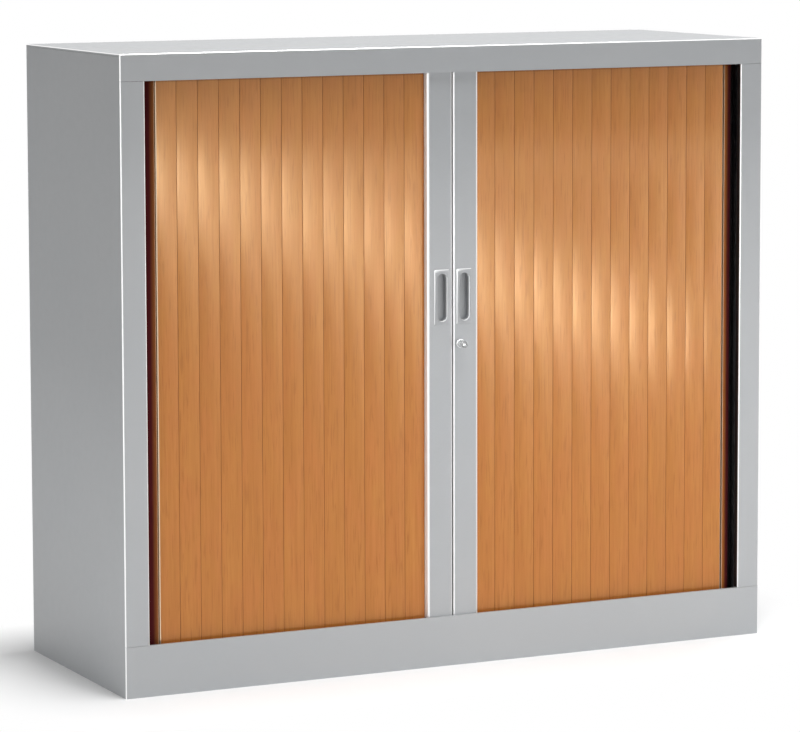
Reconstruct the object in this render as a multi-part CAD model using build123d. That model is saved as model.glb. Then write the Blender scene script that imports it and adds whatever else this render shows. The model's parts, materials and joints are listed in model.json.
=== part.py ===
"""Low office cabinet with two roll-front doors that slide sideways.

A folded sheet-steel carcass stands on its plinth. Each door is a curtain of interlocking
plastic slats led by an aluminium handle rail. The slats run in grooved tracks across the
front, round the front corners and down the sides, between the outer skin and an inner liner.

Millimetres. +X to the right, the front faces -Y, +Z up. The origin is the centre of the
whole object's box, at floor level. Every place behind the front is FRONT plus a distance.
"""
import os
from math import asin, atan2, cos, degrees, pi, sin, sqrt

from build123d import *

# Carcass
WIDTH = 1200.0
DEPTH = 430.0
HEIGHT = 1050.0
SHEET = 1.0  # steel sheet of every folded panel
BEND = 1.5  # inside radius of the folds
EDGE_BEND = 1.1  # inside radius along the edges of the top and round the ends of the plinth
CORNER = BEND + SHEET
SEAM = 0.4  # open joint between two panels that meet edge to edge
TOP_RAIL_HEIGHT = 44.0
TOP_LIP = 4.0  # how far the top panel reaches down over the sides
PLINTH_HEIGHT = 85.0
STILE_WIDTH = 43.0
STILE_RETURN = 12.0
HEM = 5.0  # depth of the hems along the top rail and the plinth
HEM_DROP = 8.0
FOOT_FLANGE = 15.0  # flanges that the panels stand on
REAR_FLANGE = 18.0
FLOOR_HEIGHT = 70.0  # top of the bottom panel
FLOOR_FLANGE = 20.0

# Handle rails
RAIL_SETBACK = 6.0  # face of the rails behind the front of the carcass
RAIL_WIDTH = 46.5
RAIL_DEPTH = 24.0
RAIL_WALL = 1.6
RAIL_OUTER_RADIUS = 5.0
RAIL_INNER_RADIUS = 2.5
RAIL_BACK_RADIUS = 2.0
MEETING_GAP = 3.0  # between the two rails when the doors are closed
RAIL_TRACK_GAP = 1.5
PLUG_HEIGHT = 24.0  # plugs in the ends of the rails
RAIL_STOP_GAP = 4.0  # rail to stile with the door fully open

# Slats
SLAT_COUNT = 13  # flat slats that show on each door
SLAT_SETBACK = 17.0  # crown of the slats behind the front of the carcass
SLAT_CROWN = 1.3
SLAT_SKIN = 2.9
SLAT_JOINT_GAP = 0.3
BEAD_RADIUS = 1.3
BEAD_CLEARANCE = 0.3
BEAD_DEPTH = 3.8  # centre of the bead behind the crown
SOCKET_WALL = 1.0
NECK = 1.4
RIB_COVER = 0.5  # rib that carries the neck, beyond the neck's own thickness
RIB_WIDTH = 2.8
SLAT_LEAD = 2.9  # the skin starts this far ahead of the socket's centre
ROUND_SIDES = 6  # the beads and their sockets are drawn with flats
CORNER_PATH_RADIUS = 32.0
TAIL_COUNT = 3

# Tracks
GROOVE_CLEARANCE = 0.6
TRACK_WALL = 1.8
TRACK_HEIGHT = 12.0
TRACK_FLOOR = 3.0
TRACK_SIDE_GAP = 24.7  # track to the skin beside it
RUNNING_GAP = 0.3
TRACK_REAR_GAP = 18.0  # path behind the rear liner, ahead of the back of the carcass
TRACK_REAR_RUN = 130.0

# Liners and shelves
LINER_GAP = 29.0  # liner to the path of the slats down the side
LINER_FRONT = 38.0
LINER_FLANGE = 12.0
REAR_LINER_GAP = 34.0
SLOT_WIDTH = 15.0
SLOT_HEIGHT = 2.6
SLOT_PITCH = 50.0
FIRST_SLOT_HEIGHT = 230.0
SLOT_MARGIN = 100.0  # least distance from the slots to the top of the opening
LOWER_SHELF_ROW = 4  # counted up from the first row of slots
UPPER_SHELF_ROW = 11
SHELF_HEIGHT = 25.0
SHELF_LIP = 12.0
SHELF_END_GAP = 2.5
SHELF_FRONT_GAP = 8.0
SHELF_REAR_GAP = 5.0
CLIP_SHEET = 1.6
CLIP_RISE = 16.0
CLIP_FOOT = 14.0
CLIP_TONGUE = 3.5
CLIP_PLAY = 0.3

# Recessed pulls
PULL_CENTRE = 21.0  # from the middle of the cabinet
PULL_LOCK_GAP = 24.5  # collar of the lock to the plate above it
PULL_PLATE_WIDTH = 29.0
PULL_PLATE_HEIGHT = 94.0
PULL_PLATE = 1.2
PULL_PLATE_RADIUS = 2.5
PULL_SLOT_WIDTH = 17.0
PULL_SLOT_HEIGHT = 80.0
PULL_RECESS = 10.0
PULL_WALL = 1.2
PULL_FIT = 0.2
PULL_RIM = 1.6
PULL_RIM_RISE = 0.8

# Lock
LOCK_CENTRE = 12.0
LOCK_HEIGHT = 549.0
LOCK_PROUD = 20.0
LOCK_COLLAR_RADIUS = 7.5
LOCK_COLLAR = 5.0
LOCK_CASE_RADIUS = 6.25
LOCK_FIT = 0.1
LOCK_NUT_RADIUS = 7.8
LOCK_NUT = 4.0
PLUG_RADIUS = 4.4
PLUG_CLEARANCE = 0.08
PLUG_RECESS = 0.8  # end of the plug inside the rim of the housing
KEYWAY_LENGTH = 5.2
KEYWAY_WIDTH = 1.3
KEYWAY_DEPTH = 4.5
CAM_SETBACK = 13.6  # cam behind the face of the rail
CAM_THICKNESS = 2.0
CAM_WIDTH = 8.0
CAM_REACH = 22.0
CAM_CHAMFER = 2.5
CAM_PLAY = 0.6
STRIKE_SHEET = 1.5
STRIKE_MARGIN = 12.0

# Meeting seal
SEAL_THICKNESS = 2.4
SEAL_WIDTH = 7.0
SEAL_SETBACK = 10.0

# Feet
FOOT_INSET = 40.0  # stem from the side of the carcass
FOOT_SETBACK = 45.0  # stem from the front or the back
FOOT_RADIUS = 17.0
FOOT_PAD = 8.0
FOOT_CHAMFER = 2.5
STEM_RADIUS = 4.0
STEM_CLEARANCE = 0.08
STEM_TOP = 60.0
BRACKET_HEIGHT = 34.0
BRACKET_SHEET = 2.0
BRACKET_REACH = 66.0
BRACKET_WIDTH = 44.0
BRACKET_FLANGE = 24.0
NUT_RADIUS = 9.0
NUT_HEIGHT = 10.0

# Places worked out from the sizes above
LOCK_REACH = LOCK_PROUD - RAIL_SETBACK
FRONT = -(DEPTH - LOCK_REACH) / 2
BACK = FRONT + DEPTH
SIDE = WIDTH / 2
STILE_INNER = SIDE - STILE_WIDTH
OPENING_TOP = HEIGHT - TOP_RAIL_HEIGHT
PANEL_TOP = HEIGHT - SHEET
SIDE_TOP = HEIGHT - TOP_LIP - SEAM
LOWER_TRACK_TOP = FLOOR_HEIGHT + TRACK_HEIGHT
UPPER_TRACK_BASE = PANEL_TOP - TRACK_HEIGHT
RAIL_INNER = MEETING_GAP / 2
RAIL_OUTER = RAIL_INNER + RAIL_WIDTH
DOOR_TRAVEL = STILE_INNER - RAIL_STOP_GAP - RAIL_OUTER
RAIL_FACE = FRONT + RAIL_SETBACK
RAIL_BASE = LOWER_TRACK_TOP + RAIL_TRACK_GAP
RAIL_TOP = UPPER_TRACK_BASE - RAIL_TRACK_GAP
SOCKET_RADIUS = BEAD_RADIUS + BEAD_CLEARANCE
KNUCKLE_RADIUS = SOCKET_RADIUS + SOCKET_WALL
FIRST_JOINT = RAIL_OUTER + SLAT_JOINT_GAP / 2 + SLAT_LEAD
PATH_SIDE = SIDE - SHEET - TRACK_SIDE_GAP - TRACK_WALL - GROOVE_CLEARANCE - BEAD_DEPTH
CORNER_CENTRE_X = PATH_SIDE - CORNER_PATH_RADIUS
SLAT_PITCH = (CORNER_CENTRE_X - FIRST_JOINT) / SLAT_COUNT
PATH_FRONT = FRONT + SLAT_SETBACK + BEAD_DEPTH
CORNER_CENTRE_Y = PATH_FRONT + CORNER_PATH_RADIUS
PATH_BACK = BACK - TRACK_REAR_GAP
CORNER_STEP = 2 * asin(SLAT_PITCH / 2 / CORNER_PATH_RADIUS)
SLAT_BASE = FLOOR_HEIGHT + TRACK_FLOOR + RUNNING_GAP
SLAT_TOP = PANEL_TOP - TRACK_FLOOR - RUNNING_GAP
CORNER_SAG = CORNER_PATH_RADIUS * (1 - cos(CORNER_STEP / 2))  # a turned slat's middle inside the path
SLAT_INSIDE = max(KNUCKLE_RADIUS, CORNER_SAG)
GROOVE_SHIFT = (BEAD_DEPTH - SLAT_INSIDE) / 2
GROOVE_WIDTH = BEAD_DEPTH + SLAT_INSIDE + 2 * GROOVE_CLEARANCE
TRACK_WIDTH = GROOVE_WIDTH + 2 * TRACK_WALL
LINER_INNER = PATH_SIDE - LINER_GAP - SHEET
REAR_LINER = BACK - REAR_LINER_GAP
SLOT_ROWS = 1 + int((OPENING_TOP - SLOT_MARGIN - FIRST_SLOT_HEIGHT) / SLOT_PITCH)
PULL_HEIGHT = LOCK_HEIGHT + LOCK_COLLAR_RADIUS + PULL_LOCK_GAP + PULL_PLATE_HEIGHT / 2
CAM_FRONT = RAIL_FACE + CAM_SETBACK
CAM_SLOT_LOW = LOCK_HEIGHT - CAM_WIDTH / 2 - CAM_PLAY
CAM_SLOT_HIGH = LOCK_HEIGHT + CAM_REACH + CAM_PLAY
FOOT_X = SIDE - FOOT_INSET
FOOT_FRONT = FRONT + FOOT_SETBACK
FOOT_REAR = BACK - FOOT_SETBACK


def slab(x, y, z):
    """A box between the two values given for each axis."""
    size = (x[1] - x[0], y[1] - y[0], z[1] - z[0])
    return Pos(x[0], y[0], z[0]) * Box(*size, align=(Align.MIN, Align.MIN, Align.MIN))


def folded(points, low, high, radius=BEND):
    """Sheet folded along points (x, y) in the middle of its thickness, standing from low to high."""
    line = FilletPolyline(*points, radius=radius + SHEET / 2)
    return Pos(0, 0, low) * extrude(trace(line, line_width=SHEET), high - low)


def folded_across(points, left, right):
    """Sheet folded along points (y, z) in the middle of its thickness, running from left to right."""
    line = FilletPolyline(*points, radius=BEND + SHEET / 2)
    section = Plane.YZ * trace(line, line_width=SHEET)
    return Pos(left, 0, 0) * extrude(section, right - left)


def rod(x, y, z, radius, length):
    """A round bar along +Y that starts at y."""
    return Pos(x, y + length / 2, z) * Rot(90, 0, 0) * Cylinder(radius, length)


def disc_at(x, y, low, radius, height):
    """A round bar along +Z that starts at low."""
    return Pos(x, y, low) * Cylinder(radius, height, align=(Align.CENTER, Align.CENTER, Align.MIN))


def left(part):
    """The same piece for the left side."""
    return mirror(part, about=Plane.YZ)


# Carcass


def side_panel():
    """Right skin: one sheet folded round the front into the stile and round the back."""
    mid = SHEET / 2
    outline = [
        (SIDE - REAR_FLANGE, BACK - mid),
        (SIDE - mid, BACK - mid),
        (SIDE - mid, FRONT + mid),
        (STILE_INNER + mid, FRONT + mid),
        (STILE_INNER + mid, FRONT + STILE_RETURN),
    ]
    panel = folded(outline, 0, SIDE_TOP)
    front_strip = ((STILE_INNER - SEAM, SIDE + SEAM), (FRONT - SEAM, FRONT + CORNER + SEAM))
    stile_return = ((STILE_INNER - SEAM, SIDE - SHEET), (FRONT - SEAM, FRONT + STILE_RETURN + SEAM))
    for height in ((-SEAM, PLINTH_HEIGHT + SEAM), (OPENING_TOP - SEAM, HEIGHT)):
        panel -= slab(*front_strip, height)
        panel -= slab(*stile_return, height)
    rear_notch = HEIGHT - REAR_FLANGE - SEAM
    rear_strip = ((SIDE - REAR_FLANGE - SEAM, SIDE + SEAM), (BACK - CORNER, BACK + SEAM))
    panel -= slab(*rear_strip, (rear_notch, HEIGHT))
    flange = slab((SIDE - FOOT_FLANGE, SIDE - mid), (FRONT + CORNER + SEAM, BACK - SHEET), (0, SHEET))
    return panel + flange


def top_panel():
    """Top folded down into the front rail, the rear flange and a short lip over each side."""
    base = OPENING_TOP
    outer = slab((-SIDE, SIDE), (FRONT, BACK), (base, HEIGHT))
    outer = fillet(outer.edges().filter_by(Axis.Z), CORNER)
    outer = fillet(outer.faces().sort_by(Axis.Z)[-1].edges(), EDGE_BEND + SHEET)
    hollow = slab((SHEET - SIDE, SIDE - SHEET), (FRONT + SHEET, BACK - SHEET), (base - SEAM, PANEL_TOP))
    panel = outer - fillet(hollow.edges().filter_by(Axis.Z), BEND)
    lip_base = HEIGHT - TOP_LIP
    for x in ((SIDE - BEND, SIDE + SEAM), (-SIDE - SEAM, BEND - SIDE)):
        panel -= slab(x, (FRONT + CORNER, BACK - CORNER), (base - SEAM, lip_base))
    rear_strip = ((-SIDE - SEAM, SIDE + SEAM), (BACK - CORNER, BACK + SEAM))
    panel -= slab(*rear_strip, (base - SEAM, HEIGHT - REAR_FLANGE))
    width = (SHEET - SIDE, SIDE - SHEET)
    hem = slab(width, (FRONT + SHEET / 2, FRONT + HEM), (base, base + SHEET))
    upturn = slab(width, (FRONT + HEM - SHEET, FRONT + HEM), (base, base + HEM_DROP))
    return panel + hem + upturn


def plinth():
    """Front of the base, wrapped round both corners, with a hem above and a flange below."""
    mid = SHEET / 2
    outline = [
        (mid - SIDE, FRONT + CORNER),
        (mid - SIDE, FRONT + mid),
        (SIDE - mid, FRONT + mid),
        (SIDE - mid, FRONT + CORNER),
    ]
    panel = folded(outline, 0, PLINTH_HEIGHT, radius=EDGE_BEND)
    width = (CORNER - SIDE, SIDE - CORNER)
    hem = slab(width, (FRONT + mid, FRONT + HEM), (PLINTH_HEIGHT - SHEET, PLINTH_HEIGHT))
    downturn = slab(width, (FRONT + HEM - SHEET, FRONT + HEM), (PLINTH_HEIGHT - HEM_DROP, PLINTH_HEIGHT))
    inner = FOOT_FLANGE + SEAM
    flange = slab((inner - SIDE, SIDE - inner), (FRONT + mid, FRONT + FOOT_FLANGE), (0, SHEET))
    return panel + hem + downturn + flange


def bottom_panel():
    """Floor of the cabinet, folded down at the front and the back."""
    mid = SHEET / 2
    top = FLOOR_HEIGHT - mid
    base = FLOOR_HEIGHT - FLOOR_FLANGE
    front = FRONT + SHEET + mid
    back = BACK - 2 * SHEET - mid
    reach = SIDE - SHEET
    panel = folded_across([(front, base), (front, top), (back, top), (back, base)], -reach, reach)
    for x in ((-SIDE, CORNER + SEAM - SIDE), (SIDE - CORNER - SEAM, SIDE)):
        for y in ((FRONT, FRONT + CORNER + SEAM), (BACK - CORNER - SEAM, BACK)):
            panel -= slab(x, y, (base - SEAM, FLOOR_HEIGHT + SEAM))
    return panel


def back_panel():
    """Flat sheet inside the rear flanges of the sides and the top."""
    reach = SIDE - CORNER - SEAM
    return slab((-reach, reach), (BACK - 2 * SHEET, BACK - SHEET), (SHEET, HEIGHT - CORNER - SEAM))


# Tracks


def track_path():
    """Middle of the groove: the rear run, the side, the front and round to the other rear run."""
    side = PATH_SIDE + GROOVE_SHIFT
    front = PATH_FRONT - GROOVE_SHIFT
    back = PATH_BACK + GROOVE_SHIFT
    end = CORNER_CENTRE_X - TRACK_REAR_RUN
    points = [(end, back), (side, back), (side, front), (-side, front), (-side, back), (-end, back)]
    return FilletPolyline(*points, radius=CORNER_PATH_RADIUS + GROOVE_SHIFT)


def track(low, groove_low):
    """Grooved plastic track that both curtains run in."""
    body = Pos(0, 0, low) * extrude(trace(track_path(), line_width=TRACK_WIDTH), TRACK_HEIGHT)
    depth = TRACK_HEIGHT - TRACK_FLOOR
    return body - Pos(0, 0, groove_low) * extrude(trace(track_path(), line_width=GROOVE_WIDTH), depth)


# Liners and shelves


def slot_places():
    """The y of the front and the rear column of shelf slots, under the lips of the shelves."""
    front = FRONT + LINER_FRONT + SHELF_FRONT_GAP + SLOT_WIDTH / 2
    return (front, REAR_LINER - SHELF_REAR_GAP - SLOT_WIDTH / 2)


def liner():
    """Right inner wall, which hides the curtain and carries the shelves in two columns of slots."""
    mid = SHEET / 2
    front = FRONT + LINER_FRONT
    x = LINER_INNER + mid
    outline = [(LINER_INNER - LINER_FLANGE, front + mid), (x, front + mid), (x, REAR_LINER)]
    panel = folded(outline, FLOOR_HEIGHT, PANEL_TOP)
    slots = []
    for y in slot_places():
        for row in range(SLOT_ROWS):
            middle = FIRST_SLOT_HEIGHT + row * SLOT_PITCH
            slots.append(Pos(x, y, middle) * Box(2 * SHEET, SLOT_WIDTH, SLOT_HEIGHT))
    return panel - slots


def rear_liner():
    """Inner back wall, ahead of the rear run of the tracks."""
    reach = LINER_INNER + SHEET
    return slab((-reach, reach), (REAR_LINER, REAR_LINER + SHEET), (FLOOR_HEIGHT, PANEL_TOP))


def shelf_top(row):
    """Height of a shelf whose clips sit in the given row of slots."""
    return FIRST_SLOT_HEIGHT + row * SLOT_PITCH + CLIP_SHEET / 2 + SHELF_HEIGHT


def shelf(row):
    """Shelf folded down and in again along its front and its back."""
    mid = SHEET / 2
    top = shelf_top(row)
    base = top - SHELF_HEIGHT
    front = FRONT + LINER_FRONT + SHELF_FRONT_GAP
    back = REAR_LINER - SHELF_REAR_GAP
    reach = LINER_INNER - SHELF_END_GAP
    points = [(front + mid, base), (front + mid, top - mid), (back - mid, top - mid), (back - mid, base)]
    panel = folded_across(points, -reach, reach)
    front_lip = slab((-reach, reach), (front + mid, front + SHELF_LIP), (base, base + SHEET))
    rear_lip = slab((-reach, reach), (back - SHELF_LIP, back - mid), (base, base + SHEET))
    return panel + front_lip + rear_lip


def shelf_clips():
    """Four bent clips for each shelf, hooked into the slots of the liners."""
    half = SLOT_WIDTH / 2 - CLIP_PLAY
    mid = CLIP_SHEET / 2
    bar = slab((LINER_INNER - CLIP_FOOT, LINER_INNER + CLIP_TONGUE), (-half, half), (-mid, mid))
    clip = bar + slab((LINER_INNER - CLIP_SHEET, LINER_INNER), (-half, half), (0, CLIP_RISE))
    clips = []
    for row in (LOWER_SHELF_ROW, UPPER_SHELF_ROW):
        for y in slot_places():
            placed = Pos(0, y, FIRST_SLOT_HEIGHT + row * SLOT_PITCH) * clip
            clips += [placed, left(placed)]
    return Compound(children=clips)


# Curtains


def flatted(radius):
    """Bead, socket or knuckle in plan, with its corners on the radius and a flat towards each neighbour."""
    return RegularPolygon(radius, ROUND_SIDES, rotation=180 / ROUND_SIDES)


def slat_section():
    """Slat in plan: its socket's centre at the origin, its bead at one pitch along +X, its face to -Y."""
    start = -SLAT_LEAD
    end = SLAT_PITCH - SLAT_LEAD - SLAT_JOINT_GAP
    face = -BEAD_DEPTH
    skin = face + SLAT_SKIN
    edge = face + SLAT_CROWN
    rib = NECK / 2 + RIB_COVER
    front = ThreePointArc((start, edge), ((start + end) / 2, face), (end, edge))
    rear = Polyline(
        (end, edge),
        (end, rib),
        (end - RIB_WIDTH, rib),
        (end - 2 * RIB_WIDTH, skin),
        (start, skin),
        (start, edge),
    )
    body = make_face(front + rear)
    neck = Pos((end + SLAT_PITCH) / 2, 0) * Rectangle(SLAT_PITCH - end, NECK)
    section = body + flatted(KNUCKLE_RADIUS) + neck + Pos(SLAT_PITCH, 0) * flatted(BEAD_RADIUS)
    return section - flatted(SOCKET_RADIUS / cos(pi / ROUND_SIDES)) - socket_mouth()


def socket_mouth():
    """Mouth of the socket: straight for the neck, and a wedge to the back for one step of the corner."""
    reach = 2 * KNUCKLE_RADIUS
    half = NECK / 2 + BEAD_CLEARANCE
    spread = CORNER_STEP + asin(half / SOCKET_RADIUS)
    corners = [(0, 0)]
    for angle in (pi, pi - spread / 2, pi - spread):
        corners.append((reach * cos(angle), reach * sin(angle)))
    wedge = make_face(Polyline(*corners, close=True))
    return wedge + Pos(-reach / 2, -half / 2) * Rectangle(reach, half)


def slat():
    """A whole slat, standing with its socket's centre on the Z axis."""
    return Pos(0, 0, SLAT_BASE) * extrude(slat_section(), SLAT_TOP - SLAT_BASE)


def joint_place(number):
    """Centre of the joint ahead of a slat of the right door: over the front, then down the side."""
    if number <= SLAT_COUNT:
        return (FIRST_JOINT + number * SLAT_PITCH, PATH_FRONT)
    past_front = number - SLAT_COUNT
    last_turned = int(pi / 2 / CORNER_STEP)
    angle = min(past_front, last_turned) * CORNER_STEP
    x = CORNER_CENTRE_X + CORNER_PATH_RADIUS * sin(angle)
    y = CORNER_CENTRE_Y - CORNER_PATH_RADIUS * cos(angle)
    if past_front <= last_turned:
        return (x, y)
    off_the_curve = sqrt(SLAT_PITCH**2 - (PATH_SIDE - x) ** 2)
    return (PATH_SIDE, y + off_the_curve + (past_front - last_turned - 1) * SLAT_PITCH)


def placed_slat(number):
    """The right door's slat that starts at the given joint, counted outwards from the handle rail."""
    start = joint_place(number)
    end = joint_place(number + 1)
    turn = degrees(atan2(end[1] - start[1], end[0] - start[0]))
    return Pos(*start) * Rot(0, 0, turn) * SLAT


SLAT = slat()


# Handle rails


def rounded_rail(inset):
    """Right rail in plan, drawn in by inset, with its edge towards the slats rounded."""
    middle = Pos((RAIL_INNER + RAIL_OUTER) / 2, RAIL_FACE + RAIL_DEPTH / 2)
    outline = middle * Rectangle(RAIL_WIDTH - 2 * inset, RAIL_DEPTH - 2 * inset)
    front = outline.vertices().group_by(Axis.Y)[0].sort_by(Axis.X)
    return fillet(front[-1], RAIL_OUTER_RADIUS - inset)


def rail_outline():
    """Outside of the right rail in plan."""
    outline = rounded_rail(0)
    meeting = outline.vertices().group_by(Axis.Y)[0].sort_by(Axis.X)
    outline = fillet(meeting[0], RAIL_INNER_RADIUS)
    return fillet(outline.vertices().group_by(Axis.Y)[-1], RAIL_BACK_RADIUS)


def hollow_outline(clearance):
    """Inside of the rail in plan, drawn in by clearance."""
    return rounded_rail(RAIL_WALL + clearance)


def pull_bar(grow, front, back):
    """The pull's rounded slot, larger by grow all round, run from front to back."""
    slot = SlotOverall(PULL_SLOT_HEIGHT + 2 * grow, PULL_SLOT_WIDTH + 2 * grow, rotation=90)
    face = Plane((PULL_CENTRE, back, PULL_HEIGHT), x_dir=(1, 0, 0), z_dir=(0, -1, 0))
    return extrude(face * slot, back - front)


def pull_box(grow, front, back):
    """Square-cornered block round the pull's slot, larger by grow all round, run from front to back."""
    x = PULL_SLOT_WIDTH / 2 + grow
    z = PULL_SLOT_HEIGHT / 2 + grow
    return slab((PULL_CENTRE - x, PULL_CENTRE + x), (front, back), (PULL_HEIGHT - z, PULL_HEIGHT + z))


def handle_rail():
    """Right rail: hollow extrusion with the bead that leads the curtain, cut for the pull and the cam."""
    neck_start = RAIL_OUTER - RAIL_WALL / 2
    neck = Pos((neck_start + FIRST_JOINT) / 2, PATH_FRONT) * Rectangle(FIRST_JOINT - neck_start, NECK)
    bead = Pos(FIRST_JOINT, PATH_FRONT) * flatted(BEAD_RADIUS)
    section = rail_outline() - hollow_outline(0) + neck + bead
    rail = Pos(0, 0, RAIL_BASE) * extrude(section, RAIL_TOP - RAIL_BASE)
    rail -= pull_box(PULL_WALL + PULL_FIT, RAIL_FACE - SEAM, RAIL_FACE + RAIL_WALL + SEAM)
    return rail - cam_slot(RAIL_INNER - SEAM, RAIL_INNER + RAIL_WALL + SEAM)


def cam_slot(start, end):
    """Space that the lock's cam swings through, between two places across the rail."""
    y = (CAM_FRONT - CAM_PLAY, CAM_FRONT + CAM_THICKNESS + CAM_PLAY)
    return slab((start, end), y, (CAM_SLOT_LOW, CAM_SLOT_HIGH))


def lock_hole():
    """Hole in the right rail's face for the lock."""
    return rod(LOCK_CENTRE, RAIL_FACE - SEAM, LOCK_HEIGHT, LOCK_CASE_RADIUS + LOCK_FIT, RAIL_WALL + 2 * SEAM)


def pull_cup():
    """Recessed finger pull: a plate on the face of the rail, a raised rim and a closed cup behind it."""
    plate_front = RAIL_FACE - PULL_PLATE
    rim_front = plate_front - PULL_RIM_RISE
    face = Plane((PULL_CENTRE, RAIL_FACE, PULL_HEIGHT), x_dir=(1, 0, 0), z_dir=(0, -1, 0))
    outline = RectangleRounded(PULL_PLATE_WIDTH, PULL_PLATE_HEIGHT, PULL_PLATE_RADIUS)
    plate = extrude(face * outline, PULL_PLATE)
    rim = pull_bar(PULL_RIM, rim_front, RAIL_FACE)
    cup = pull_box(PULL_WALL, RAIL_FACE, RAIL_FACE + PULL_RECESS + PULL_WALL)
    return plate + rim + cup - pull_bar(0, rim_front - SEAM, RAIL_FACE + PULL_RECESS)


def rail_shoes():
    """Plastic end plugs of the right rail, each with a tongue that stays on the straight run of its track."""
    start = RAIL_INNER + RAIL_WALL
    end = CORNER_CENTRE_X - DOOR_TRAVEL
    plug = extrude(hollow_outline(RUNNING_GAP), PLUG_HEIGHT)
    groove = Pos((start + end) / 2, PATH_FRONT - GROOVE_SHIFT)
    tongue = groove * Rectangle(end - start, GROOVE_WIDTH - 2 * GROOVE_CLEARANCE)
    low = Pos(0, 0, RAIL_BASE) * plug + Pos(0, 0, SLAT_BASE) * extrude(tongue, RAIL_BASE - SLAT_BASE)
    high = Pos(0, 0, RAIL_TOP - PLUG_HEIGHT) * plug
    high += Pos(0, 0, RAIL_TOP) * extrude(tongue, SLAT_TOP - RAIL_TOP)
    return Compound(children=[low, high])


def centre_seal():
    """Soft strip on the left rail that closes the meeting gap ahead of the lock's cam."""
    y = (FRONT + SEAL_SETBACK, FRONT + SEAL_SETBACK + SEAL_WIDTH)
    x = (-RAIL_INNER, SEAL_THICKNESS - RAIL_INNER)
    return slab(x, y, (RAIL_BASE, RAIL_TOP))


# Lock


def lock_case():
    """Chromed housing: nose and threaded body in one, a collar on the face and a nut behind it."""
    front = RAIL_FACE - LOCK_PROUD
    back = RAIL_FACE + RAIL_WALL + LOCK_NUT
    body = rod(LOCK_CENTRE, front, LOCK_HEIGHT, LOCK_CASE_RADIUS, back - front)
    collar = rod(LOCK_CENTRE, RAIL_FACE - LOCK_COLLAR, LOCK_HEIGHT, LOCK_COLLAR_RADIUS, LOCK_COLLAR)
    nut_back = Plane((LOCK_CENTRE, back, LOCK_HEIGHT), x_dir=(1, 0, 0), z_dir=(0, -1, 0))
    nut = extrude(nut_back * RegularPolygon(LOCK_NUT_RADIUS, 6), LOCK_NUT)
    length = back - front + 2 * SEAM
    bore = rod(LOCK_CENTRE, front - SEAM, LOCK_HEIGHT, PLUG_RADIUS + PLUG_CLEARANCE, length)
    return body + collar + nut - bore


def lock_barrel():
    """Plug that turns in the housing: the keyway in its front end, a square for the cam on its rear end."""
    front = RAIL_FACE - LOCK_PROUD + PLUG_RECESS
    plug = rod(LOCK_CENTRE, front, LOCK_HEIGHT, PLUG_RADIUS, CAM_FRONT - front)
    to_the_back = (Align.CENTER, Align.MIN, Align.CENTER)
    keyway = Box(KEYWAY_WIDTH, KEYWAY_DEPTH, KEYWAY_LENGTH, align=to_the_back)
    square = Box(PLUG_RADIUS, CAM_THICKNESS, PLUG_RADIUS, align=to_the_back)
    plug -= Pos(LOCK_CENTRE, front, LOCK_HEIGHT) * keyway
    return plug + Pos(LOCK_CENTRE, CAM_FRONT, LOCK_HEIGHT) * square


def lock_cam():
    """Flat bar on the square end of the plug: up when unlocked, across into the left rail when locked."""
    outline = Plane((LOCK_CENTRE, CAM_FRONT, LOCK_HEIGHT), x_dir=(1, 0, 0), z_dir=(0, -1, 0))
    half = CAM_WIDTH / 2
    bar = Pos(0, (CAM_REACH - half) / 2) * Rectangle(CAM_WIDTH, CAM_REACH + half)
    bar = chamfer(bar.vertices(), CAM_CHAMFER) - Rectangle(PLUG_RADIUS, PLUG_RADIUS)
    return extrude(outline * bar, -CAM_THICKNESS)


def strike_plate():
    """Steel plate behind the left rail's slot, which takes the cam."""
    x = (-RAIL_INNER - RAIL_WALL - STRIKE_SHEET, -RAIL_INNER - RAIL_WALL)
    y = (CAM_FRONT - STRIKE_MARGIN / 2, CAM_FRONT + CAM_THICKNESS + STRIKE_MARGIN / 3)
    plate = slab(x, y, (CAM_SLOT_LOW - STRIKE_MARGIN, CAM_SLOT_HIGH + STRIKE_MARGIN))
    return plate - cam_slot(x[0] - SEAM, x[1] + SEAM)


# Feet


def foot(x, y):
    """Levelling foot: a six-sided pad, which a spanner turns, on a threaded stem."""
    pad = Pos(x, y, 0) * extrude(RegularPolygon(FOOT_RADIUS, 6), FOOT_PAD)
    pad = chamfer(pad.edges().group_by(Axis.Z)[-1], FOOT_CHAMFER)
    return pad + disc_at(x, y, FOOT_PAD, STEM_RADIUS, STEM_TOP - FOOT_PAD)


def foot_bracket(x, y):
    """Bracket on the right side panel with the nut that the stem screws into."""
    side = SIDE - SHEET
    top = BRACKET_HEIGHT
    width = (y - BRACKET_WIDTH / 2, y + BRACKET_WIDTH / 2)
    plate = slab((side - BRACKET_REACH, side), width, (top - BRACKET_SHEET, top))
    flange = slab((side - BRACKET_SHEET, side), width, (top - BRACKET_SHEET, top + BRACKET_FLANGE))
    nut = Pos(x, y, top - BRACKET_SHEET) * extrude(RegularPolygon(NUT_RADIUS, 6), NUT_HEIGHT)
    return plate + flange + nut - disc_at(x, y, 0, STEM_RADIUS + STEM_CLEARANCE, STEM_TOP)


def foot_brackets():
    """The four brackets under the floor of the cabinet."""
    right = [foot_bracket(FOOT_X, y) for y in (FOOT_FRONT, FOOT_REAR)]
    return Compound(children=right + [left(bracket) for bracket in right])


# The whole cabinet


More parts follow.
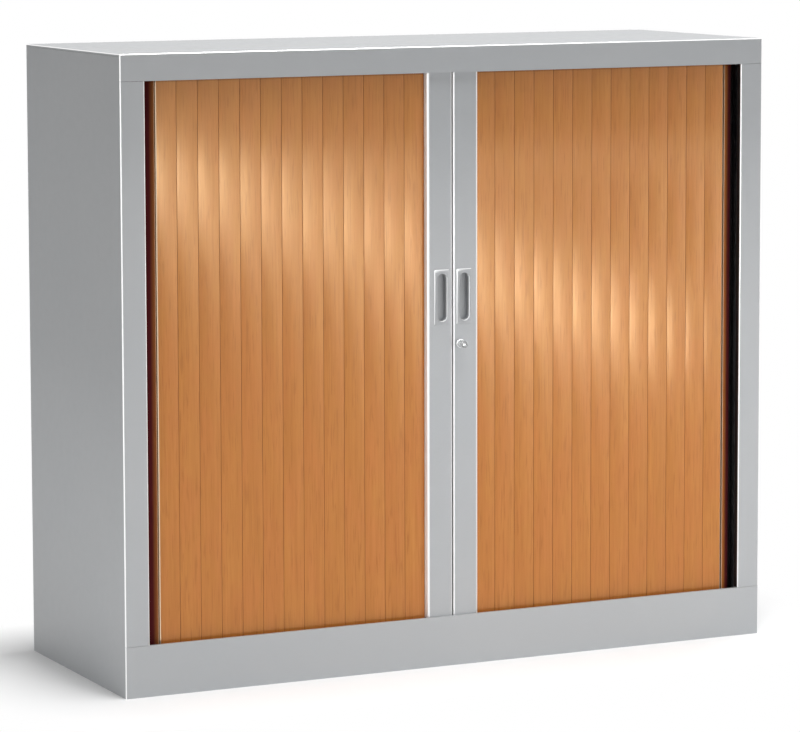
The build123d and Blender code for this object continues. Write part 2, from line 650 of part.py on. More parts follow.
def carcass_nodes():
    """Panels, tracks, liners, shelves and what carries the feet."""
    right_side = side_panel()
    right_liner = liner()
    return {
        "left_side_panel": left(right_side),
        "right_side_panel": right_side,
        "top_panel": top_panel(),
        "plinth": plinth(),
        "bottom_panel": bottom_panel(),
        "back_panel": back_panel(),
        "lower_track": track(FLOOR_HEIGHT, FLOOR_HEIGHT + TRACK_FLOOR),
        "upper_track": track(UPPER_TRACK_BASE, UPPER_TRACK_BASE),
        "left_liner": left(right_liner),
        "right_liner": right_liner,
        "rear_liner": rear_liner(),
        "lower_shelf": shelf(LOWER_SHELF_ROW),
        "upper_shelf": shelf(UPPER_SHELF_ROW),
        "shelf_clips": shelf_clips(),
        "foot_brackets": foot_brackets(),
    }


def foot_nodes():
    """The four levelling feet."""
    return {
        "left_front_foot": foot(-FOOT_X, FOOT_FRONT),
        "right_front_foot": foot(FOOT_X, FOOT_FRONT),
        "left_rear_foot": foot(-FOOT_X, FOOT_REAR),
        "right_rear_foot": foot(FOOT_X, FOOT_REAR),
    }


def door_nodes():
    """Rails and what they carry."""
    rail = handle_rail()
    cup = pull_cup()
    shoes = rail_shoes()
    return {
        "left_handle_rail": left(rail),
        "right_handle_rail": rail - lock_hole(),
        "left_pull_cup": left(cup),
        "right_pull_cup": cup,
        "left_rail_shoes": left(shoes),
        "right_rail_shoes": shoes,
        "centre_seal": centre_seal(),
        "strike_plate": strike_plate(),
        "lock_case": lock_case(),
        "lock_barrel": lock_barrel(),
        "lock_cam": lock_cam(),
    }


def curtain_nodes():
    """Every slat of both curtains: flat ones, the one that turns the corner and the hidden tail."""
    nodes = {}
    for number in range(SLAT_COUNT):
        placed = placed_slat(number)
        nodes[f"right_slat_{number + 1:02d}"] = placed
        nodes[f"left_slat_{number + 1:02d}"] = left(placed)
    corner = placed_slat(SLAT_COUNT)
    tail = Compound(children=[placed_slat(SLAT_COUNT + 1 + place) for place in range(TAIL_COUNT)])
    nodes["right_corner_slat"] = corner
    nodes["left_corner_slat"] = left(corner)
    nodes["right_tail_slats"] = tail
    nodes["left_tail_slats"] = left(tail)
    return nodes


def main():
    """Write one STEP file for each piece."""
    os.makedirs("parts", exist_ok=True)
    nodes = {**carcass_nodes(), **foot_nodes(), **door_nodes(), **curtain_nodes()}
    for name, solid in nodes.items():
        export_step(solid, f"parts/{name}.step")


main()
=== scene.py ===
"""Looks of the low roll-front cabinet: materials, light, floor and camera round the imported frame."""

import json
from math import cos, degrees, radians, sin

import bmesh
import bpy
from mathutils import Matrix, Quaternion, Vector


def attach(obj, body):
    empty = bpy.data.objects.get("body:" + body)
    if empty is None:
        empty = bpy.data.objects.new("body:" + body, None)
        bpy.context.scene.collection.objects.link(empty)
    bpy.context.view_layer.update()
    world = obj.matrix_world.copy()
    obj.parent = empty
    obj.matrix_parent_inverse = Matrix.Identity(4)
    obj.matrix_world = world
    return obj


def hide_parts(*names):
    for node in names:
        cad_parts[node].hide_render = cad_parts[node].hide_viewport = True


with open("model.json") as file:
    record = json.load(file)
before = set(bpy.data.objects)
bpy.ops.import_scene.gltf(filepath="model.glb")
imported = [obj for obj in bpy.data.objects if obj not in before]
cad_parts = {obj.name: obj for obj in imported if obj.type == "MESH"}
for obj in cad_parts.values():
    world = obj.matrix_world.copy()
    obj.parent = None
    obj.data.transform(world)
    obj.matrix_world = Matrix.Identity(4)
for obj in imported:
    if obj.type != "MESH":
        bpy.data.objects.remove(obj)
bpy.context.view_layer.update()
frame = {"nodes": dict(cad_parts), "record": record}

# Camera: place in metres, angles in degrees, focal length and image width in pixels
CAMERA_PLACE = (-2.781, -5.694, 1.326)
CAMERA_YAW = 25.329
CAMERA_PITCH = 5.96
CAMERA_ROLL = -0.211
CAMERA_SHIFT = (0.056, -0.127)
CAMERA_CLIP = (0.1, 60.0)
FOCAL_PIXELS = 3683.5
IMAGE_WIDTH = 800
SENSOR = 36.0

# Places on the cabinet, in metres; an axis is its distance from the middle plane and its height
RAIL_FACE = -0.202
LOCK_AXIS = (0.012, 0.549)
PULL_AXIS = (0.021, 0.628)
SLAT_START = 0.04815  # inner edge of the first flat slat
SLAT_PITCH = 0.0373038
SLAT_TOP = 1.005  # where the top rail begins to hide the slats
SLAT_CROWN_FRONT = -0.191
SLAT_FACE_REAR = -0.1895  # just behind the edges of the slats' faces
FLAT_SLATS_END = 0.5345
LAST_EDGE = 0.5329  # open edge of the last flat slat

# Ranges in which a painted shade or painted highlight fades in or out, in metres: heights, depths or
# distances from the middle
TOP_SHADE = (SLAT_TOP - 0.030, SLAT_TOP - 0.004)  # slats under the top rail
TOP_LINE = (SLAT_TOP - 0.0035, SLAT_TOP - 0.0015)
BEHIND_FACES = (SLAT_CROWN_FRONT + 0.0024, SLAT_CROWN_FRONT + 0.0030)
LAST_JOINT = (0.5295, 0.5300)  # the open edge lies outside it
CORNER_GAP = (0.5341, 0.5344)
MAROON_BAND = (FLAT_SLATS_END, 0.5425)
BLACK_BAND = (0.5465, 0.5530)
RIGHT_BAND_SHIFT = 0.004  # both bands lie further out on the right door
RETURN_INNER = (0.5550, 0.5555)  # the stiles' inner returns
RETURN_OUTER = (0.5585, 0.5590)
RETURN_REAR = (-0.190, -0.186)
RECESS = (RAIL_FACE, RAIL_FACE + 0.004)

# The same for painted highlights and a painted reflection, from the axis of a pull or of the lock
SLOT_RIM_SIDE = (0.0115, 0.0125)
SLOT_RIM_END = (0.0420, 0.0430)
PLUG_RING_INNER = (0.0020, 0.0026)
PLUG_RING_OUTER = (0.0058, 0.0063)

# Easing: share of the crown that stays, widths in metres, angles of smooth shading in degrees
CROWN_KEPT = 0.25
SLAT_EASE = 0.0004
LAST_EDGE_EASE = 0.0024
PULL_EASE = 0.0011
LOCK_EASE = 0.0005
SLAT_SMOOTH = 12
FITTING_SMOOTH = 35

# Floor: half the width and depth that the cabinet takes up, and where the floor fades round it
FLOOR_REACH = 14.0
FOOTPRINT = (0.60, 0.21)
FLOOR_FADE = (0.02, 0.23)

# Lights: name, place, aim, size, roll in degrees, power in watts
LIGHTS = (
    ("overhead", (0.6, -0.7, 5.0), (0.1, -0.2, 0.0), (4.0, 0.5), 0.0, 215.0),
    ("key", (0.8, -4.2, 3.2), (0.0, -0.2, 0.6), (0.8, 0.8), 0.0, 14.0),
    ("pool_front", (0.3, -1.5, 0.75), (0.3, -1.4, 0.0), (2.4, 0.8), 0.0, 18.0),
    ("pool_left", (-1.8, -0.2, 0.55), (-1.8, -0.2, 0.0), (0.8, 1.6), 0.0, 12.0),
    ("low_right", (3.0, -2.6, 0.3), (0.1, -0.2, 0.3), (1.6, 0.5), 0.0, 12.5),
    ("strip_left", (0.50, -2.2, 0.59), (0.50, 0.0, 0.59), (1.05, 0.15), -15.0, 3.9),
    ("strip_right", (1.28, -2.2, 0.33), (1.28, 0.0, 0.33), (0.60, 0.14), -19.3, 2.7),
    ("left_strip", (-2.6, -1.2, 0.7), (-0.6, -0.2, 0.6), (0.10, 2.4), 0.0, 7.0),
    ("behind", (0.0, 3.2, 0.8), (0.0, 0.2, 0.55), (2.4, 1.0), 0.0, 55.0),
)
UNMIRRORED_LIGHTS = ("behind",)


def grey(value, warm=0.0):
    """Linear grey, a little warmer or cooler."""
    return (value * (1 + warm), value, value * (1 - warm), 1.0)


# Colours, linear
# near-black of painted shade: slats behind the stiles, the open gap at the corner and the joints behind
# the slats' faces
PAINTED_SHADE_BLACK = grey(0.010)
# near-white of painted highlights on folds, sideways flanks and the pulls' rims
PAINTED_HIGHLIGHT = grey(0.95)
PAINT_TONE = 0.385
BEECH_LIGHT = (0.465, 0.176, 0.038, 1.0)
BEECH_MIDDLE = (0.410, 0.145, 0.028, 1.0)
BEECH_DEEP = (0.335, 0.106, 0.018, 1.0)
BEECH_RED = (0.440, 0.133, 0.036, 1.0)
BEECH_PORE = (0.262, 0.074, 0.014, 1.0)
BEECH_JOINT = (0.235, 0.073, 0.016, 1.0)
# colour of the painted shade on the slats under the top rail
BEECH_SHADE = (0.100, 0.018, 0.004, 1.0)
BEECH_SHEEN = (1.0, 0.70, 0.40, 1.0)
# cream of a painted highlight on the slats' open edges at the corner
PAINTED_CREAM_HIGHLIGHT = (1.0, 0.86, 0.66, 1.0)
# maroon of the painted shade on the slats that turn the corner
PAINTED_MAROON_SHADE = (0.090, 0.013, 0.015, 1.0)


# Node helpers


class Nodes:
    """One material's node tree, built a node at a time."""

    def __init__(self, name):
        self.material = bpy.data.materials.new(name)
        self.material.use_nodes = True
        self.tree = self.material.node_tree
        self.tree.nodes.clear()
        self.shader = self.tree.nodes.new("ShaderNodeBsdfPrincipled")
        self.output = self.tree.nodes.new("ShaderNodeOutputMaterial")
        self.tree.links.new(self.shader.outputs[0], self.output.inputs["Surface"])
        self.coordinates = self.tree.nodes.new("ShaderNodeTexCoord").outputs["Object"]

    def put(self, socket, value):
        """Link a socket to a node's output, or set it; None leaves it as it is."""
        if isinstance(value, bpy.types.NodeSocket):
            self.tree.links.new(value, socket)
        elif value is not None:
            socket.default_value = value

    def parts(self, vector):
        """The three numbers of a vector."""
        node = self.tree.nodes.new("ShaderNodeSeparateXYZ")
        self.put(node.inputs[0], vector)
        return list(node.outputs)

    def scaled(self, x, y, z, shift=None):
        """Object coordinates times a scale for each axis, and a shift in the texture's own units."""
        node = self.tree.nodes.new("ShaderNodeVectorMath")
        node.operation = "MULTIPLY_ADD"
        self.put(node.inputs[0], self.coordinates)
        self.put(node.inputs[1], (x, y, z))
        self.put(node.inputs[2], shift)
        return node.outputs[0]

    def noise(self, vector, detail=2.0, rough=0.5, distortion=0.0):
        """Noise from about 0.3 to 0.7."""
        node = self.tree.nodes.new("ShaderNodeTexNoise")
        self.put(node.inputs["Vector"], vector)
        node.inputs["Scale"].default_value = 1.0
        node.inputs["Detail"].default_value = detail
        node.inputs["Roughness"].default_value = rough
        node.inputs["Distortion"].default_value = distortion
        return node.outputs[0]

    def even_noise(self, scale, **settings):
        """Noise of the same scale, in waves per metre, along each axis."""
        return self.noise(self.scaled(scale, scale, scale), **settings)

    def cells(self, vector):
        """Voronoi cells with a random colour for each."""
        node = self.tree.nodes.new("ShaderNodeTexVoronoi")
        self.put(node.inputs["Vector"], vector)
        node.inputs["Scale"].default_value = 1.0
        return node.outputs["Color"]

    def spread(self, value, low, high, to_low=0.0, to_high=1.0):
        """A value spread from one range to another and held inside it."""
        node = self.tree.nodes.new("ShaderNodeMapRange")
        self.put(node.inputs["Value"], value)
        numbers = {"From Min": low, "From Max": high, "To Min": to_low, "To Max": to_high}
        for name, number in numbers.items():
            node.inputs[name].default_value = number
        return node.outputs[0]

    def until(self, value, low, high):
        """1 below a range, 0 above it."""
        return self.spread(value, low, high, 1.0, 0.0)

    def math(self, operation, a, b=None):
        """One of Blender's Math operations on one or two values."""
        node = self.tree.nodes.new("ShaderNodeMath")
        node.operation = operation
        self.put(node.inputs[0], a)
        self.put(node.inputs[1], b)
        return node.outputs[0]

    def times(self, product, *factors):
        """Product of two or more values."""
        for factor in factors:
            product = self.math("MULTIPLY", product, factor)
        return product

    def absolute(self, value):
        """A value without its sign."""
        return self.math("ABSOLUTE", value)

    def length(self, a, b):
        """Length of a vector with two parts."""
        return self.math("SQRT", self.math("ADD", self.times(a, a), self.times(b, b)))

    def mixed(self, share, a, b):
        """Colour between a and b."""
        node = self.tree.nodes.new("ShaderNodeMix")
        node.data_type = "RGBA"
        self.put(node.inputs["Factor"], share)
        self.put(node.inputs[6], a)
        self.put(node.inputs[7], b)
        return node.outputs[2]

    def normal(self):
        """The three parts of the surface's own normal."""
        return self.parts(self.tree.nodes.new("ShaderNodeNewGeometry").outputs["Normal"])

    def facing(self, axis, low, high):
        """0 to 1 as the surface turns to face along an axis, either way."""
        return self.spread(self.absolute(self.normal()[axis]), low, high)

    def folds(self, low, high):
        """1 on the round of a fold or an eased edge, 0 on the flat faces beside it."""
        x, y, z = (self.absolute(part) for part in self.normal())
        most = self.math("MAXIMUM", self.times(x, y), self.times(y, z))
        return self.spread(self.math("MAXIMUM", most, self.times(z, x)), low, high)

    def bump(self, height, strength, distance):
        """Relief of a height field."""
        node = self.tree.nodes.new("ShaderNodeBump")
        self.put(node.inputs["Height"], height)
        node.inputs["Strength"].default_value = strength
        node.inputs["Distance"].default_value = distance
        return node.outputs[0]

    def finish(self, colour, rough, normal=None, metallic=0.0, **constants):
        """Fill the shader in and return the material."""
        self.put(self.shader.inputs["Base Color"], colour)
        self.put(self.shader.inputs["Roughness"], rough)
        self.put(self.shader.inputs["Metallic"], metallic)
        self.put(self.shader.inputs["Normal"], normal)
        for name, value in constants.items():
            self.shader.inputs[name.replace("_", " ")].default_value = value
        return self.material


# Materials


def paint(name, flake_stretch, painted_flank_highlight=False):
    """Silver-grey powder coat: fine flake, orange peel, a slow drift of tone, a painted highlight on the
    folds.
    """
    n = Nodes(name)
    drift = n.spread(n.even_noise(3.0, detail=3.0), 0.35, 0.65)
    flake = n.noise(n.scaled(1500.0, 1500.0, 1500.0 * flake_stretch), detail=1.0)
    flake = n.spread(flake, 0.32, 0.68)
    base = n.mixed(drift, grey(PAINT_TONE * 0.985, -0.034), grey(PAINT_TONE * 1.015, -0.026))
    colour = n.mixed(flake, n.mixed(0.97, grey(0.0), base), n.mixed(0.03, base, grey(0.9)))
    # painted highlight: the rounds of folds and eased edges turn near-white, and are made metallic below
    folds = n.folds(0.12, 0.40)
    colour = n.mixed(folds, colour, PAINTED_HIGHLIGHT)
    if painted_flank_highlight:
        # painted highlight: faces that turn sideways, such as the rails' flanks, turn near-white
        colour = n.mixed(n.facing(0, 0.60, 0.90), colour, PAINTED_HIGHLIGHT)
    else:
        # painted shade: the stiles' inner returns beside the opening turn near-black
        colour = n.mixed(stile_return_shade(n), colour, grey(0.012))
    height = n.math("ADD", n.even_noise(420.0, detail=2.0, rough=0.4), n.times(flake, 0.25))
    rough = n.spread(n.even_noise(60.0, detail=4.0), 0.3, 0.7, 0.28, 0.36)
    relief = n.bump(height, 0.08, 0.0004)
    return n.finish(colour, rough, relief, folds, Specular_IOR_Level=0.35)


def stile_return_shade(n):
    """1 on the inner returns of the stiles, beside the opening, which get a painted shade."""
    x, y, _ = n.parts(n.coordinates)
    out = n.absolute(x)
    beside = n.times(n.spread(out, *RETURN_INNER), n.until(out, *RETURN_OUTER))
    return n.times(beside, n.until(y, *RETURN_REAR), n.facing(0, 0.90, 0.97))


def beech(name, turned=False):
    """Beech foil on plastic slats, cut for each slat from another place in the print."""
    n = Nodes(name)
    x, y, z = n.parts(n.coordinates)
    place = place_in_print(n, x)

    def grain(across, along, low, high, **settings):
        return n.spread(n.noise(n.scaled(across, across, along, place), **settings), low, high)

    waves = grain(38.0, 2.2, 0.36, 0.64, detail=2.0, distortion=0.9)
    lines = grain(240.0, 7.0, 0.34, 0.66, detail=3.0, rough=0.6, distortion=0.5)
    pores = grain(420.0, 20.0, 0.58, 0.70, detail=1.0, distortion=0.3)
    fibre = grain(1500.0, 40.0, 0.30, 0.70, detail=2.0, rough=0.6)
    blush = grain(22.0, 9.0, 0.38, 0.62, detail=2.0)
    colour = BEECH_MIDDLE
    for pattern, strength, tone in (
        (waves, 0.65, BEECH_LIGHT),
        (blush, 0.50, BEECH_RED),
        (lines, 0.50, BEECH_DEEP),
        (pores, 0.45, BEECH_PORE),
        (fibre, 0.12, BEECH_LIGHT),
    ):
        colour = n.mixed(n.times(pattern, strength), colour, tone)
    # the turned slats get painted shade towards the stiles; the flat ones get brown joints, painted
    # shade behind their faces and a painted highlight on the last edge
    if turned:
        colour, metal, gloss = corner_shade(n, colour, x), 0.0, 0.1
    else:
        colour, metal = joint_edges(n, colour, x, y)
        gloss = 1.0
    # painted shade on the slats under the top rail, with a darker painted line right under it
    painted_shade_under_rail = n.math("ADD", n.spread(z, *TOP_SHADE, 0.0, 0.18), n.spread(z, *TOP_LINE, 0.0, 0.45))
    colour = n.mixed(painted_shade_under_rail, colour, BEECH_SHADE)

    rough = n.math("ADD", n.spread(lines, 0.0, 1.0, 0.12, 0.15), n.times(across_slat(n, x), 0.12))
    relief = n.bump(n.math("SUBTRACT", n.times(fibre, 0.4), pores), 0.07, 0.0002)
    return n.finish(colour, rough, relief, metal, Specular_IOR_Level=gloss, Specular_Tint=BEECH_SHEEN)


def place_in_print(n, x):
    """A shift of the print that is random for each slat of either door."""
    number = n.math("SUBTRACT", n.absolute(x), SLAT_START)
    number = n.math("FLOOR", n.math("DIVIDE", number, SLAT_PITCH))
    door = n.times(n.math("SIGN", x), 37.0)
    dice = n.tree.nodes.new("ShaderNodeTexWhiteNoise")
    dice.noise_dimensions = "1D"
    n.put(dice.inputs["W"], n.math("ADD", number, door))
    shift = n.tree.nodes.new("ShaderNodeVectorMath")
    shift.operation = "SCALE"
    n.put(shift.inputs[0], dice.outputs["Color"])
    shift.inputs["Scale"].default_value = 40.0
    return shift.outputs[0]


def across_slat(n, x):
    """From 0 at the left edge of each slat to 1 at its right edge."""
    start = n.times(n.math("SIGN", x), SLAT_START)
    return n.math("FRACT", n.math("DIVIDE", n.math("SUBTRACT", x, start), SLAT_PITCH))


def corner_shade(n, colour, x):
    """Painted shade on the slats that turn the corner: a painted cream highlight on the near edge, then
    maroon and almost black towards the stile, and a dark painted line in the open gap.
    """
    out = n.math("SUBTRACT", n.absolute(x), n.spread(x, -0.1, 0.1, 0.0, RIGHT_BAND_SHIFT))
    # painted highlight on the near edge
    near_edge_highlight = n.spread(n.absolute(n.normal()[0]), 0.38, 0.50, 0.5, 0.0)
    colour = n.mixed(near_edge_highlight, colour, PAINTED_CREAM_HIGHLIGHT)
    # painted shade, maroon and then near-black towards the stile
    colour = n.mixed(n.spread(out, *MAROON_BAND, 0.25, 1.0), colour, PAINTED_MAROON_SHADE)
    colour = n.mixed(n.spread(out, *BLACK_BAND), colour, PAINTED_SHADE_BLACK)
    # painted shade in the open gap beside the last flat slat
    return n.mixed(n.spread(n.absolute(x), *CORNER_GAP, 0.9, 0.0), colour, PAINTED_SHADE_BLACK)


def joint_edges(n, colour, x, y):
    """Colour of the flat slats with brown joints, painted shade behind the faces and a painted cream
    highlight on the last edge, and the metallic value that makes that edge mirror the white world.
    """
    edge = n.facing(0, 0.25, 0.50)
    last = n.spread(n.absolute(x), *LAST_JOINT)
    behind = n.spread(y, *BEHIND_FACES)
    # brown joints; on the last edge a painted cream highlight instead
    colour = n.mixed(edge, colour, n.mixed(last, BEECH_JOINT, PAINTED_CREAM_HIGHLIGHT))
    # painted shade in the joints behind the slats' faces
    colour = n.mixed(n.times(behind, 0.8), colour, PAINTED_SHADE_BLACK)
    return colour, n.times(edge, last, n.math("SUBTRACT", 1.0, behind))


def moulded(name, dark, light, rough_low, rough_high):
    """Moulded plastic or rubber with a fine spark-eroded skin."""
    n = Nodes(name)
    drift = n.spread(n.even_noise(18.0, detail=3.0), 0.35, 0.65)
    skin = n.even_noise(1400.0, detail=2.0, rough=0.6)
    rough = n.spread(skin, 0.3, 0.7, rough_low, rough_high)
    return n.finish(n.mixed(drift, dark, light), rough, n.bump(skin, 0.15, 0.0002))


def pull():
    """Silver-grey moulding with a painted highlight on the rims that face up or left and painted shade
    inside its recess.
    """
    n = Nodes("pull_plastic")
    skin = n.even_noise(1400.0, detail=2.0, rough=0.6)
    inside = n.spread(n.parts(n.coordinates)[1], *RECESS)
    colour = n.mixed(n.spread(skin, 0.35, 0.65), grey(0.33, -0.03), grey(0.37, -0.03))
    # painted shade: darker inside the recess
    colour = n.mixed(n.times(inside, 0.18), colour, grey(0.05, -0.03))
    # painted highlight on the rims that face up or left, which are also made metallic
    rims = n.times(n.folds(0.06, 0.20), painted_rim_highlight(n), n.math("SUBTRACT", 1.0, inside))
    colour = n.mixed(rims, colour, PAINTED_HIGHLIGHT)
    rough = n.spread(skin, 0.3, 0.7, 0.34, 0.46)
    return n.finish(colour, rough, n.bump(skin, 0.15, 0.0002), rims)


def painted_rim_highlight(n):
    """Where the rims get a painted highlight: 1 on the rounds that face up or left, but not on the outer
    flanks of the slot's rim.
    """
    x, _, z = n.parts(n.coordinates)
    face_x, _, face_z = n.normal()
    lit = n.spread(n.math("SUBTRACT", face_z, face_x), 0.0, 0.3, 0.05, 1.0)
    beside = n.math("SUBTRACT", x, n.times(n.math("SIGN", x), PULL_AXIS[0]))
    above = n.math("SUBTRACT", z, PULL_AXIS[1])
    outward = n.math("ADD", n.times(beside, face_x), n.times(above, 0.2, face_z))
    rim = n.times(n.until(n.absolute(beside), *SLOT_RIM_SIDE), n.until(n.absolute(above), *SLOT_RIM_END))
    flank = n.times(rim, n.spread(outward, -0.0005, 0.0005))
    return n.times(lit, n.math("SUBTRACT", 1.0, flank))


def chrome():
    """Bright chrome with faint turning marks and a painted dark reflection in a ring round the plug."""
    n = Nodes("chrome_lock")
    haze = n.even_noise(160.0, detail=4.0)
    marks = n.noise(n.scaled(300.0, 6000.0, 300.0), detail=1.0)
    x, _, z = n.parts(n.coordinates)
    out = n.length(n.math("SUBTRACT", x, LOCK_AXIS[0]), n.math("SUBTRACT", z, LOCK_AXIS[1]))
    ring = n.times(n.spread(out, *PLUG_RING_INNER), n.until(out, *PLUG_RING_OUTER))
    ring = n.times(ring, n.facing(1, 0.90, 0.97), 0.85)
    colour = n.mixed(haze, grey(0.78, -0.01), grey(0.90, -0.005))
    # painted dark reflection: a near-black ring on the front faces round the plug
    colour = n.mixed(ring, colour, grey(0.03))
    rough = n.spread(haze, 0.3, 0.7, 0.14, 0.24)
    return n.finish(colour, rough, n.bump(marks, 0.05, 0.00005), metallic=1.0)


def zinc():
    """Zinc-plated steel with a soft bluish spangle."""
    n = Nodes("zinc_steel")
    spangle = n.cells(n.scaled(260.0, 260.0, 260.0))
    cloud = n.even_noise(40.0, detail=4.0)
    colour = n.mixed(n.spread(cloud, 0.35, 0.65), grey(0.46, -0.02), grey(0.58, -0.01))
    colour = n.mixed(0.08, colour, spangle)
    rough = n.spread(cloud, 0.3, 0.7, 0.30, 0.46)
    return n.finish(colour, rough, n.bump(cloud, 0.1, 0.0002), metallic=1.0)


def make_materials():
    """A material for each slot of the record."""
    return {
        "carcass_paint": paint("carcass_paint", 1.0),
        "rail_paint": paint("rail_paint", 0.25, painted_flank_highlight=True),
        "slat_beech": beech("slat_beech"),
        "track_plastic": moulded("track_plastic", grey(0.020), grey(0.030), 0.45, 0.60),
        "pull_plastic": pull(),
        "seal_rubber": moulded("seal_rubber", grey(0.012), grey(0.020), 0.65, 0.85),
        "chrome_lock": chrome(),
        "zinc_steel": zinc(),
        "foot_plastic": moulded("foot_plastic", grey(0.018), grey(0.026), 0.45, 0.60),
    }


def dress(materials):
    """Give each CAD node the material of its slot; the slats behind the stiles get a beech with painted
    shade.
    """
    shaded = beech("slat_beech_painted_shade", turned=True)
    for part in frame["record"]["subparts"]:
        node = frame["nodes"][part["node"]]
        turned = part["node"].endswith(("_corner_slat", "_tail_slats"))
        for slot in node.material_slots:
            slot.material = shaded if turned else materials[part["material_slot"]]


# Eased copies of the pieces that catch the light


def upright_corner(edge):
    """A vertical edge where two faces meet at about a right angle."""
    run = (edge.verts[1].co - edge.verts[0].co).normalized()
    return abs(run.z) > 0.99 and 70 < degrees(edge.calc_face_angle()) < 110


def last_edge(edge):
    """The open edge of the last flat slat, where the curtain turns the corner."""
    return upright_corner(edge) and all(
        abs(abs(v.co.x) - LAST_EDGE) < 2e-4 and v.co.y < SLAT_FACE_REAR for v in edge.verts
    )


def proud_of_the_rail(edge):
    """A sharp edge in front of the rail's face."""
    front = RAIL_FACE - 0.0001
    return all(v.co.y < front for v in edge.verts) and degrees(edge.calc_face_angle()) > 40


def flatten_crown(form):
    """Keep only a part of the crown of a flat slat's face."""
    for v in form.verts:
        on_face = SLAT_FACE_REAR > v.co.y > SLAT_CROWN_FRONT - 1e-5
        if on_face and abs(v.co.x) < FLAT_SLATS_END:
            v.co.y = SLAT_CROWN_FRONT + (v.co.y - SLAT_CROWN_FRONT) * CROWN_KEPT


def eased(name, smooth, *passes):
    """Replace a CAD node with a copy; each pass rounds by a width the edges that its test picks.

    Faces that meet at less than the angle smooth are shaded as one."""
    source = frame["nodes"][name]
    form = bmesh.new()
    form.from_mesh(source.data)
    bmesh.ops.remove_doubles(form, verts=form.verts, dist=1e-6)
    bmesh.ops.dissolve_limit(form, angle_limit=radians(0.3), verts=form.verts, edges=form.edges)
    flatten_crown(form)
    form.normal_update()
    for width, wanted in passes:
        edges = [e for e in form.edges if e.is_manifold and e.is_convex and wanted(e)]
        bmesh.ops.bevel(
            form, geom=edges, offset=width, segments=2, profile=0.5, affect="EDGES", clamp_overlap=True
        )
    mesh = bpy.data.meshes.new(name + "_eased")
    form.to_mesh(mesh)
    form.free()
    if "custom_normal" in mesh.attributes:
        mesh.attributes.remove(mesh.attributes["custom_normal"])
    mesh.shade_smooth()
    mesh.set_sharp_from_angle(angle=radians(smooth))
    for slot in source.material_slots:
        mesh.materials.append(slot.material)
    piece = bpy.data.objects.new(name + "_eased", mesh)
    bpy.context.scene.collection.objects.link(piece)
    bodies = frame["record"]["behaviour"]["bodies"]
    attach(piece, next(body for body, nodes in bodies.items() if name in nodes))
    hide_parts(name)
    return piece


def ease_edges():
    """Ease the edges of the slats, the pulls and the lock."""
    for part in frame["record"]["subparts"]:
        if part["material_slot"] == "slat_beech":
            passes = (LAST_EDGE_EASE, last_edge), (SLAT_EASE, upright_corner)
            eased(part["node"], SLAT_SMOOTH, *passes)
    for name in ("left_pull_cup", "right_pull_cup"):
        eased(name, FITTING_SMOOTH, (PULL_EASE, proud_of_the_rail))
    for name in ("lock_case", "lock_barrel"):
        eased(name, FITTING_SMOOTH, (LOCK_EASE, proud_of_the_rail))


# Floor, light and camera


def floor():
    """Pale studio floor that fades into the white backdrop round the cabinet."""
    mesh = bpy.data.meshes.new("studio_floor")
    corners = [(x * FLOOR_REACH, y * FLOOR_REACH, 0) for x, y in ((-1, -1), (1, -1), (1, 1), (-1, 1))]
    mesh.from_pydata(corners, [], [(0, 1, 2, 3)])
    plane = bpy.data.objects.new("studio_floor", mesh)
    bpy.context.scene.collection.objects.link(plane)
    n = Nodes("studio_floor")
    n.finish(n.mixed(n.even_noise(2.0, detail=3.0), grey(0.84), grey(0.88)), 0.9)
    beside, before = (
        n.math("MAXIMUM", n.math("SUBTRACT", n.absolute(place), half), 0.0)
        for place, half in zip(n.parts(n.coordinates), FOOTPRINT)
    )
    path = n.tree.nodes.new("ShaderNodeLightPath")
    seen = n.math("MAXIMUM", path.outputs["Is Camera Ray"], path.outputs["Is Glossy Ray"])
    glow = n.tree.nodes.new("ShaderNodeEmission")
    mix = n.tree.nodes.new("ShaderNodeMixShader")
    n.put(mix.inputs[0], n.times(n.spread(n.length(beside, before), *FLOOR_FADE), seen))
    n.put(mix.inputs[1], n.shader.outputs[0])
    n.put(mix.inputs[2], glow.outputs[0])
    n.put(n.output.inputs["Surface"], mix.outputs[0])
    mesh.materials.append(n.material)


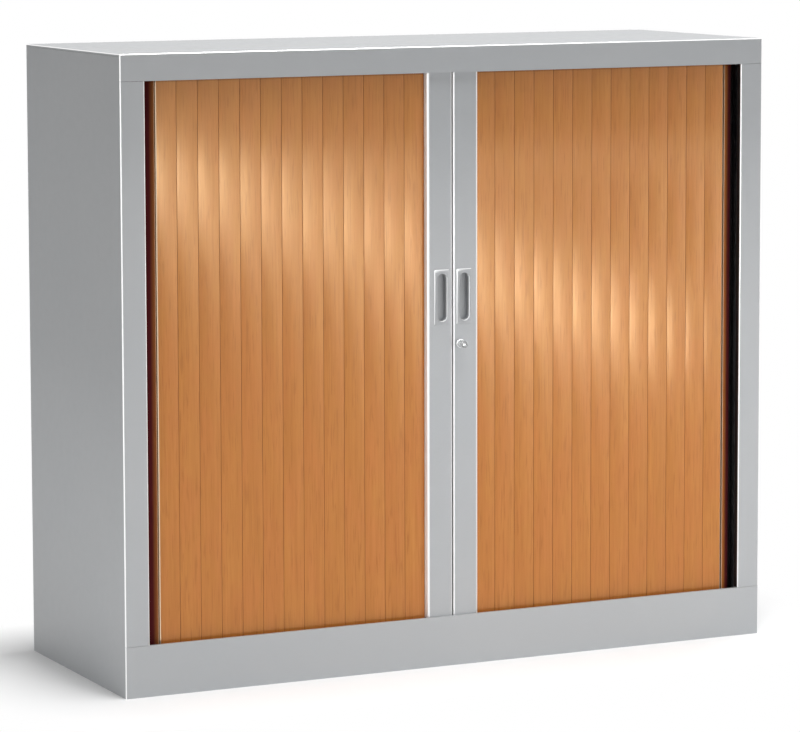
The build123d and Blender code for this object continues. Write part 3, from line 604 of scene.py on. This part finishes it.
def white_world():
    """White to the camera, in gloss and through glass; it lights nothing else."""
    world = bpy.data.worlds.new("studio")
    world.use_nodes = True
    tree = world.node_tree
    tree.nodes.clear()
    path = tree.nodes.new("ShaderNodeLightPath")
    seen = path.outputs["Is Camera Ray"]
    for name in ("Is Glossy Ray", "Is Transmission Ray"):
        either = tree.nodes.new("ShaderNodeMath")
        either.operation = "MAXIMUM"
        tree.links.new(seen, either.inputs[0])
        tree.links.new(path.outputs[name], either.inputs[1])
        seen = either.outputs[0]
    background = tree.nodes.new("ShaderNodeBackground")
    background.inputs["Color"].default_value = (1.0, 1.0, 1.0, 1.0)
    tree.links.new(seen, background.inputs["Strength"])
    output = tree.nodes.new("ShaderNodeOutputWorld")
    tree.links.new(background.outputs[0], output.inputs["Surface"])
    bpy.context.scene.world = world


def softbox(name, place, aim, size, roll, power):
    """Rectangular area light aimed at a point and rolled about its own axis."""
    light = bpy.data.lights.new(name, "AREA")
    light.shape = "RECTANGLE"
    light.size, light.size_y = size
    light.energy = power
    lamp = bpy.data.objects.new(name, light)
    bpy.context.scene.collection.objects.link(lamp)
    lamp.location = place
    lamp.rotation_mode = "QUATERNION"
    turn = (Vector(aim) - Vector(place)).to_track_quat("-Z", "Y")
    lamp.rotation_quaternion = turn @ Quaternion((0.0, 0.0, 1.0), radians(roll))
    lamp.visible_camera = False
    lamp.visible_glossy = name not in UNMIRRORED_LIGHTS


def camera():
    """Camera to the left of the front, a little above the cabinet's top."""
    yaw, pitch, roll = (radians(a) for a in (CAMERA_YAW, CAMERA_PITCH, CAMERA_ROLL))
    ahead = Vector((sin(yaw) * cos(pitch), cos(yaw) * cos(pitch), -sin(pitch)))
    level = Vector((cos(yaw), -sin(yaw), 0.0))
    above = level.cross(ahead)
    right = level * cos(roll) + above * sin(roll)
    up = above * cos(roll) - level * sin(roll)
    data = bpy.data.cameras.new("camera")
    data.sensor_fit = "HORIZONTAL"
    data.sensor_width = SENSOR
    data.lens = FOCAL_PIXELS * SENSOR / IMAGE_WIDTH
    data.shift_x, data.shift_y = CAMERA_SHIFT
    data.clip_start, data.clip_end = CAMERA_CLIP
    shot = bpy.data.objects.new("camera", data)
    bpy.context.scene.collection.objects.link(shot)
    turn = Matrix((right, up, -ahead)).transposed().to_4x4()
    shot.matrix_world = Matrix.Translation(CAMERA_PLACE) @ turn
    bpy.context.scene.camera = shot


def main():
    """Dress the frame and set the studio up round it."""
    dress(make_materials())
    ease_edges()
    floor()
    white_world()
    for light in LIGHTS:
        softbox(*light)
    camera()
    bpy.context.scene.view_settings.view_transform = "Standard"


main()
